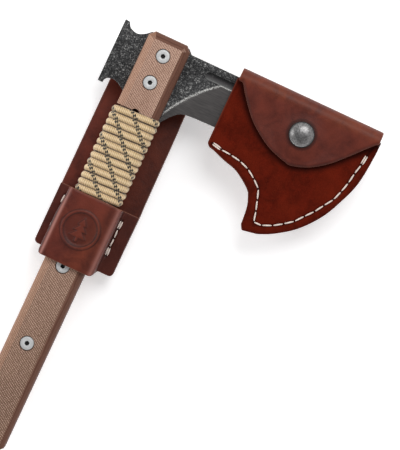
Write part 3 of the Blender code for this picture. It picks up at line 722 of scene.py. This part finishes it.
# near-black, as painted shade in the bolts' hex sockets and on the snap's rolled rim
SOCKET_SHADE = satin("bolt_socket_shade", srgb(20, 20, 21), srgb(48, 47, 46), 0.6)
BRAID = braid()
SUEDE, GRAIN = suede(), grain()
THREAD, SNAP_METAL = waxed_thread(), gunmetal()


# ---------------------------------------------------------------- the hatchet


def build_head():
    head = copied("head_and_tang", "blade_and_tang", 0.22)
    paint(head, HEAD_STEEL)
    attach(head, "hatchet")


def build_scales():
    for node in ("front_scale", "rear_scale"):
        scale = copied(node.replace("scale", "slab"), node, 0.18)
        shade(scale, 9)
        paint(scale, MICARTA)
        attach(scale, "hatchet")
    for i in range(1, 6):
        for kind in ("scale_bolt", "sleeve_nut"):
            piece = copied(f"{kind.split('_')[1]}_{i}_turned", f"{kind}_{i}", 0.10)
            paint(piece, BOLT, SOCKET_SHADE)
            middle = sum((v.co for v in piece.data.vertices), Vector()) / len(piece.data.vertices)
            top = max(v.co.z for v in piece.data.vertices)
            for face in piece.data.polygons:
                off = (face.center - middle).xy.length / MM
                deep = (top - face.center.z) / MM
                # the hex socket takes the near-black finish: painted shade in the recess
                in_socket = off < BOLT_SOCKET_R and BOLT_SOCKET_TOP < deep < BOLT_SOCKET_END
                face.material_index = int(kind == "scale_bolt" and in_socket)
            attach(piece, "hatchet")


def cord_path():
    """One turn round the handle, seen along it, from the middle of the rear, up the right side."""
    turn = rounded(
        [(0.0, -WRAP_HALF), (WRAP_RIGHT, -WRAP_HALF, CORD_BEND), (WRAP_RIGHT, WRAP_HALF, CORD_BEND),
         (WRAP_LEFT, WRAP_HALF, CORD_BEND), (WRAP_LEFT, -WRAP_HALF, CORD_BEND), (0.0, -WRAP_HALF)],
        steps=6,
    )
    return [spot for spot, _ in spaced(turn, CORD_STEP)]


def build_cord():
    """The turns, each a little uneven, with run kept on every corner for the braid."""
    turn = cord_path()
    share = [i / len(turn) for i in range(len(turn))]
    edit = bmesh.new()
    line, run = [], []
    for lap in range(TURNS):
        lift = 0.10 * math.sin(lap * 2.4)
        for (x, z), done in zip(turn, share):
            lean = 0.16 * math.sin(lap * 1.9 + done * 6.0)
            y = WRAP_TOP - PITCH * (lap + done) + lean
            out = Vector((x, 0.0, z))
            core = Vector((max(min(x, WRAP_RIGHT - CORD_BEND), WRAP_LEFT + CORD_BEND), 0.0,
                           max(min(z, WRAP_HALF - CORD_BEND), CORD_BEND - WRAP_HALF)))
            up = (out - core).normalized()
            bow = 0.35 * ease([1 - abs(x + 0.45) / 12.0], 0.0, 1.0)[0]
            spot = Vector((x, y, MIDDLE_Z + z)) + up * (lift + bow * 0.6)
            line.append((spot, up))
            run.append(len(line) * CORD_STEP)
    rings = tube(edit, line, CORD_WIDE, CORD_HIGH, sides=CORD_SIDES)
    run_layer = edit.loops.layers.float_vector.new("run")
    where = {}
    for ring, length in zip(rings, run):
        for k, corner in enumerate(ring):
            where[corner] = (length, k / CORD_SIDES)
    for face in edit.faces:
        turns = [where[loop.vert][1] for loop in face.loops]
        wraps = len(face.verts) == 4 and max(turns) - min(turns) > 0.5
        for loop in face.loops:
            length, around = where[loop.vert]
            loop[run_layer] = (length, 1.0 if wraps and around == 0.0 else around, 0.0)
    cord = new_piece("cord_turns", edit)
    shade(cord, 180)
    paint(cord, BRAID)
    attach(cord, "hatchet")
    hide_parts("cord_wrap")


# ---------------------------------------------------------------- stitches


def stitch_row(name, line, level, pitch, radius):
    """Stitches from hole to hole along a line, the first and last sewn twice."""
    edit = bmesh.new()
    row = spaced(line, pitch)
    for i, (spot, along) in enumerate(row[:-1]):
        after = row[i + 1][0]
        side = Vector((-along.y, along.x))
        at_end = i in (0, len(row) - 2)
        for shift in ((-0.55, 0.55) if at_end else (0.0,)):
            slant = 0.12 * (1 if i % 2 else -1)
            start = Vector(spot) + (after - spot) * 0.10 + side * (shift - slant)
            end = Vector(spot) + (after - spot) * 0.90 + side * (shift + slant)
            route, swell = [], []
            for k in range(9):
                t = k / 8
                rise = -0.55 + 1.15 * max(math.sin(math.pi * t), 0.0) ** 0.45
                route.append(((*(start + (end - start) * t), level + rise * radius), (0, 0, 1)))
                swell.append(0.55 + 0.45 * max(math.sin(math.pi * t), 0.0) ** 0.5)
            tube(edit, route, radius * 1.08, radius, sides=8, taper=swell)
    thing = new_piece(name, edit)
    shade(thing, 60)
    paint(thing, THREAD)
    return thing


# ---------------------------------------------------------------- the cover


def build_front_panel():
    edit = bmesh.new()
    plate(edit, cover_outline(FRONT_TOP), MIDDLE_Z + PANEL_INNER, MIDDLE_Z + PANEL_OUTER)
    panel = skin(new_piece("front_leather", edit), 0.55, 3)
    points = spots(panel)
    facing = normals(panel)
    top = ease(facing[:, 2], 0.2, 0.8)
    seam = distance(points, STITCH_LINE)
    groove = (1 - ease(seam, 0.3, 1.3)) * top
    outline = [(COVER_LEFT, FRONT_TOP), (COVER_LEFT, -43.6), *reversed(COVER_BEARD), COVER_HEEL,
               *reversed(COVER_EDGE)]
    rim = distance(points, outline)
    inside = ease(seam, 1.0, 9.0) * ease(rim, 3.0, 12.0)
    points[:, 2] += top * (-0.42 * groove + 0.35 * inside - 0.35 * (1 - ease(rim, 0.0, 1.6)))
    place_spots(panel, points)
    note(panel, "rest", points)
    holes = np.array([spot for spot, _ in spaced(STITCH_LINE, STITCH)])
    from_holes = np.hypot(points[:, None, 0] - holes[:, 0], points[:, None, 1] - holes[:, 1])
    pierced = np.min(from_holes, axis=1)
    # darker in the sunk stitch groove and along the rim, painted shade in the stitch holes, and a painted
    # shadow beneath the flap's edge
    marks = 0.45 * groove + 0.7 * (1 - ease(pierced, 0.4, 1.0)) + 0.35 * (1 - ease(rim, 0.3, 2.8))
    marks += 0.85 * (1 - ease(distance(points, FLAP_EDGE), 0.6, 4.6))
    note(panel, "press_and_shade", np.clip(top * marks, 0, 1))
    lit_edge = 0.6 * top * (1 - ease(points[:, 0] - COVER_LEFT, 0.3, 0.9))
    note(panel, "raw", np.maximum(1 - ease(np.abs(facing[:, 2]), 0.25, 0.65), lit_edge))
    paint(panel, SUEDE)
    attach(panel, "cover")
    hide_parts("cover_front_panel")

    welt = skin(shell_of("welt_leather", "cover_welt"), 0.8, 2)
    points = spots(welt)
    note(welt, "rest", points)
    note(welt, "press_and_shade", np.full(len(points), 0.5))
    note(welt, "raw", np.full(len(points), 0.4))
    paint(welt, SUEDE)
    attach(welt, "cover")
    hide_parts("cover_welt")

    stitches = stitch_row("cover_stitches", STITCH_LINE, MIDDLE_Z + PANEL_OUTER - 0.05, STITCH, 0.43)
    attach(stitches, "cover")
    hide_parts("cover_thread")


def build_folded_leather():
    """Rear panel, fold and flap, cut from one piece of leather."""
    near = FOLD_TOP - LEATHER / 2 - FOLD_BEND
    middle_rear = MIDDLE_Z - (PANEL_OUTER + PANEL_INNER) / 2
    middle_flap = MIDDLE_Z + (FLAP_REAR + FLAP_FRONT) / 2
    outer = FOLD_TOP - LEATHER / 2
    path = rounded(
        [(near - 1.5, middle_rear), (outer, middle_rear, FOLD_BEND), (outer, middle_flap, FOLD_BEND),
         (near - 1.5, middle_flap)],
        steps=8,
    )
    edit = bmesh.new()
    plate(edit, cover_outline(near), MIDDLE_Z - PANEL_OUTER, MIDDLE_Z - PANEL_INNER)
    plate(edit, flap_outline(near), MIDDLE_Z + FLAP_REAR, MIDDLE_Z + FLAP_FRONT)
    band(edit, path, FOLD_LEFT, FOLD_RIGHT, LEATHER)
    skin_of = skin(new_piece("folded_leather", edit), 0.55, 6)
    points = spots(skin_of)
    facing = normals(skin_of)
    on_flap = ease(points[:, 2], MIDDLE_Z + FLAP_REAR - 1.5, MIDDLE_Z + FLAP_REAR)
    from_snap = np.hypot(points[:, 0] - SNAP[0], points[:, 1] - SNAP[1])
    down = ease(-points[:, 1], -3.0, 22.0) * ease(from_snap, 6.0, 17.0)
    ripple = 0.12 * np.sin(points[:, 0] * 0.35) * ease(-points[:, 1], 2.0, 10.0)
    points[:, 2] += on_flap * (-1.75 * down + ripple)
    rim = distance(points, FLAP_EDGE)
    up = ease(facing[:, 2], 0.2, 0.8)
    points[:, 2] -= on_flap * up * 0.4 * (1 - ease(rim, 0.0, 1.4))
    place_spots(skin_of, points)
    note(skin_of, "rest", points)
    folded = ease(points[:, 1], -5.5, 0.5) * ease(points[:, 2], MIDDLE_Z - 2, MIDDLE_Z + 3)
    worn = 0.5 + 0.5 * np.sin(points[:, 0] * 0.23 + 1.0) * np.sin(points[:, 0] * 0.071)
    note(skin_of, "burnish", folded * (0.45 + 0.55 * worn))
    press_and_shade_mask = on_flap * (1 - ease(np.abs(from_snap - 8.2), 0.4, 1.6)) * 0.7
    press_and_shade_mask += on_flap * up * 0.45 * (1 - ease(rim, 0.2, 2.2))
    note(skin_of, "press_and_shade", np.clip(press_and_shade_mask, 0, 1))
    sides = 1 - ease(np.abs(facing[:, 2]), 0.25, 0.6)
    off_fold = 1 - ease(points[:, 1], -2.6, -1.8)
    ends = ease(np.abs(facing[:, 0]), 0.6, 0.85)
    note(skin_of, "raw", 0.55 * np.clip(sides * off_fold + ends, 0, 1))
    paint(skin_of, GRAIN)
    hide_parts("cover_rear_panel", "cover_fold", "cover_flap")
    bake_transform(skin_of)


def build_snap():
    """The cap: a rolled rim with painted shade, round a low dome, and its post."""
    over = MIDDLE_Z + FLAP_FRONT + 0.3
    profile = smooth(
        [(7.55, over), (7.62, over + 0.35), (7.35, over + 0.72), (6.95, over + 0.80), (6.70, over + 0.66),
         (6.45, over + 0.86), (5.6, over + 1.42), (4.2, over + 2.02), (2.2, over + 2.45),
         (0.4, over + 2.58)],
        steps=3,
    )
    dome = [(7.0, over - 0.1), *profile]
    post = [(SNAP_POST_R, over - 0.1), (SNAP_POST_R, MIDDLE_Z + FLAP_REAR - 0.5)]
    edit = bmesh.new()
    for turned, sides in ((dome, 64), (post, 24)):
        rings = [circle(edit, SNAP, radius, height, sides) for radius, height in turned]
        for a, b in zip(rings, rings[1:]):
            for k in range(sides):
                j = (k + 1) % sides
                edit.faces.new((a[k], a[j], b[j], b[k]))
        edit.faces.new(rings[0])
        edit.faces.new(rings[-1])
    cap = new_piece("snap_dome", edit)
    shade(cap, 40)
    paint(cap, SNAP_METAL, SOCKET_SHADE)
    # the rim's outer faces take the near-black finish as painted shade
    for face in cap.data.polygons:
        off = (face.center.xy - at(*SNAP).xy).length / MM
        face.material_index = int(off > SNAP_RIM_R)
    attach(cap, "flap")
    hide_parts("snap_cap")
    for node in ("snap_socket", "snap_stud", "snap_stud_post"):
        paint_node(node, SNAP_METAL)


# ---------------------------------------------------------------- the carrier


def build_strap():
    strap = skin(shell_of("carrier_leather", "carrier_strap"), 0.85, 4)
    points = spots(strap)
    facing = normals(strap)
    note(strap, "rest", points)
    note(strap, "raw", 0.45 * ease(np.abs(facing[:, 0]), 0.55, 0.85))
    right = ease(points[:, 0], 4.0, 24.0)
    seams = np.minimum(*(distance(points, seam) for seam in WING_SEAMS.values()))
    press_and_shade_mask = (1 - ease(seams, 0.4, 1.6)) * 0.5
    rim = np.minimum(points[:, 0] - STRAP_LEFT, STRAP_RIGHT - points[:, 0])
    # painted shadow on the strap's right part, beside the wrap
    press_and_shade_mask += 0.30 * (1 - ease(rim, 0.4, 2.4)) + 0.5 * right
    note(strap, "press_and_shade", np.clip(press_and_shade_mask, 0, 1))
    note(strap, "burnish", 0.35 * right)
    paint(strap, GRAIN)
    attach(strap, "carrier")
    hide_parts("carrier_strap")


def emblem(points):
    """A round medallion with a plain fir tree: its relief in millimetres and its shaded hollows."""
    x, y = 1.1 * (points[:, 0] - EMBLEM[0]), 1.1 * (points[:, 1] - EMBLEM[1])
    far = np.hypot(x, y)

    def band_at(radius, narrow, wide):
        return 1 - ease(np.abs(far - radius), narrow, wide)

    ring = band_at(11.9, 0.3, 1.0)
    inner = band_at(10.2, 0.1, 0.5)
    tree = np.zeros(len(points))
    for tip, base, half in ((8.6, 2.6, 3.5), (5.0, -1.5, 5.0), (1.2, -5.6, 6.4)):
        inside = np.minimum(half * (tip - y) / (tip - base) - np.abs(x), (y - base) * 1.4)
        tree = np.maximum(tree, ease(inside, -0.1, 0.9))
    trunk = np.minimum(1.1 - np.abs(x), np.minimum(y + 8.4, -5.2 - y))
    tree = np.maximum(tree, ease(trunk, -0.2, 0.5))
    sunk = 1 - ease(far, 10.2, 11.2)
    edge = 4 * tree * (1 - tree) + band_at(10.9, 0.2, 0.6) + band_at(13.1, 0.1, 0.6)
    hollow = 0.35 * sunk * (1 - tree) + 0.8 * edge
    return 0.55 * ring + 0.25 * inner + 0.85 * tree - 0.45 * sunk, hollow


def build_band():
    """The band over the handle, embossed, with a wing stitched down at each side."""
    loop = skin(shell_of("band_leather", "carrier_loop"), 0.5, 4)
    points = spots(loop)
    facing = normals(loop)
    crown = ease(points[:, 2], HANDLE_Z + 1.0, HANDLE_Z + 2.2) * ease(facing[:, 2], 0.1, 0.6)
    relief, hollow = emblem(points)
    x = points[:, 0]

    def hump(centre, wide):
        return np.exp(-(((x - centre) / wide) ** 2))

    bulge = 0.35 * (hump(-14.2, 1.8) + hump(14.2, 1.8))
    ends = 1 - ease(np.minimum(BAND_TOP_Y - points[:, 1], points[:, 1] - BAND_END_Y), 0.1, 1.1)
    points[:, 2] += crown * (1.15 * relief + bulge - 0.3 * ends)
    lip = ease(points[:, 2], HANDLE_Z - 4.0, HANDLE_Z + 1.0) * ease(-x, 12.0, 15.0)
    points[:, 0] -= (0.4 + 1.3 * ease(-points[:, 1], 104.0, 120.0)) * lip
    wall = ease(facing[:, 0], 0.45, 0.8) * (points[:, 2] < HANDLE_Z)
    wing = ease(np.abs(x), 16.9, 17.4) * ease(facing[:, 2], 0.2, 0.7)
    seams = np.minimum(*(distance(points, seam) for seam in WING_SEAMS.values()))
    groove = wing * (1 - ease(seams, 0.3, 1.2))
    points[:, 2] -= 0.35 * groove
    place_spots(loop, points)
    note(loop, "rest", points)
    note(loop, "raw", 0.9 * ease(np.abs(facing[:, 1]), 0.45, 0.8))
    # painted shade in the emblem's hollows, on the right part of the crown, on the right-facing walls and
    # on the wings, deeper on the right wing; the stitch groove is sunk and darker
    press_and_shade_mask = crown * (0.9 * hollow + 0.35 * hump(11.0, 2.6)) + 0.6 * groove + 0.6 * wall
    press_and_shade_mask += (0.4 + 0.2 * (x > 0)) * wing
    note(loop, "press_and_shade", np.clip(press_and_shade_mask, 0, 1))
    # a painted highlight along the crown's two crests, which are also glossier
    note(loop, "gloss_and_highlight", crown * (hump(-16.2, 0.9) + 0.6 * hump(15.0, 1.5)))
    note(loop, "burnish", crown * 0.4 * ease(x - 0.4 * (points[:, 1] + 120), -4.0, 12.0))
    paint(loop, GRAIN)
    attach(loop, "carrier")
    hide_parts("carrier_loop")
    for side, seam in WING_SEAMS.items():
        level = MIDDLE_Z - HANDLE_HALF + LEATHER
        row = stitch_row(f"stitches_{side}", seam, level, WING_STITCH, 0.46)
        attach(row, "carrier")
        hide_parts(f"carrier_thread_{side}")


# ---------------------------------------------------------------- the set


VIEW_TURN = math.radians(25)
VIEW_CENTRE = (60.9, -89.1)
CAMERA_HEIGHT, VIEW_WIDTH = 1.4, 0.2633


def build_set():
    """A pale table, two soft lamps, at the upper right and the left, and a camera straight above."""
    table = bpy.data.meshes.new("table")
    table.from_pydata([(-3, -3, 0), (3, -3, 0), (3, 3, 0), (-3, 3, 0)], [], [(0, 1, 2, 3)])
    floor = bpy.data.objects.new("table", table)
    bpy.context.scene.collection.objects.link(floor)
    look = Look("table_paint", Roughness=0.9)
    look.shader.inputs["Emission Color"].default_value = (1, 1, 1, 1)
    look.shader.inputs["Emission Strength"].default_value = 0.34
    speckle = look.noise(40.0, detail=2.0)
    paint(floor, look.finish(look.mix(speckle, srgb(246, 246, 247), srgb(250, 250, 250))))

    world = bpy.data.worlds.new("studio")
    bpy.context.scene.world = world
    world.use_nodes = True
    tree = world.node_tree
    spot = tree.nodes.new("ShaderNodeTexCoord").outputs["Generated"]
    split = tree.nodes.new("ShaderNodeSeparateXYZ")
    tree.links.new(spot, split.inputs[0])
    ramp = tree.nodes.new("ShaderNodeValToRGB")
    ramp.color_ramp.elements[0].position = 0.35
    ramp.color_ramp.elements[0].color = (1.0, 1.0, 1.0, 1)
    ramp.color_ramp.elements[1].position = 0.95
    ramp.color_ramp.elements[1].color = (0.16, 0.16, 0.165, 1)
    tree.links.new(split.outputs["Z"], ramp.inputs[0])
    tree.links.new(ramp.outputs[0], tree.nodes["Background"].inputs["Color"])
    tree.nodes["Background"].inputs["Strength"].default_value = 1.1

    turn = Matrix.Rotation(VIEW_TURN, 3, "Z")
    for name, spot, size, power in (
        ("key", (0.45, 0.75, 1.2), 0.9, 10.5),
        ("side", (-1.1, 0.35, 0.9), 0.7, 4.5),
    ):
        light = bpy.data.lights.new(name, "AREA")
        light.energy = power
        light.shape = "DISK"
        light.size = size
        lamp = bpy.data.objects.new(name, light)
        lamp.location = turn @ Vector(spot)
        lamp.rotation_euler = (-lamp.location).to_track_quat("-Z", "Y").to_euler()
        bpy.context.scene.collection.objects.link(lamp)

    camera = bpy.data.cameras.new("camera")
    camera.lens = camera.sensor_width * CAMERA_HEIGHT / VIEW_WIDTH
    eye = bpy.data.objects.new("camera", camera)
    eye.location = at(*VIEW_CENTRE, MIDDLE_Z) + Vector((0, 0, CAMERA_HEIGHT))
    eye.rotation_euler = (0, 0, VIEW_TURN)
    bpy.context.scene.collection.objects.link(eye)
    bpy.context.scene.camera = eye
    bpy.context.scene.view_settings.view_transform = "Standard"


build_head()
build_scales()
build_cord()
build_front_panel()
build_folded_leather()
build_snap()
build_strap()
build_band()
build_set()
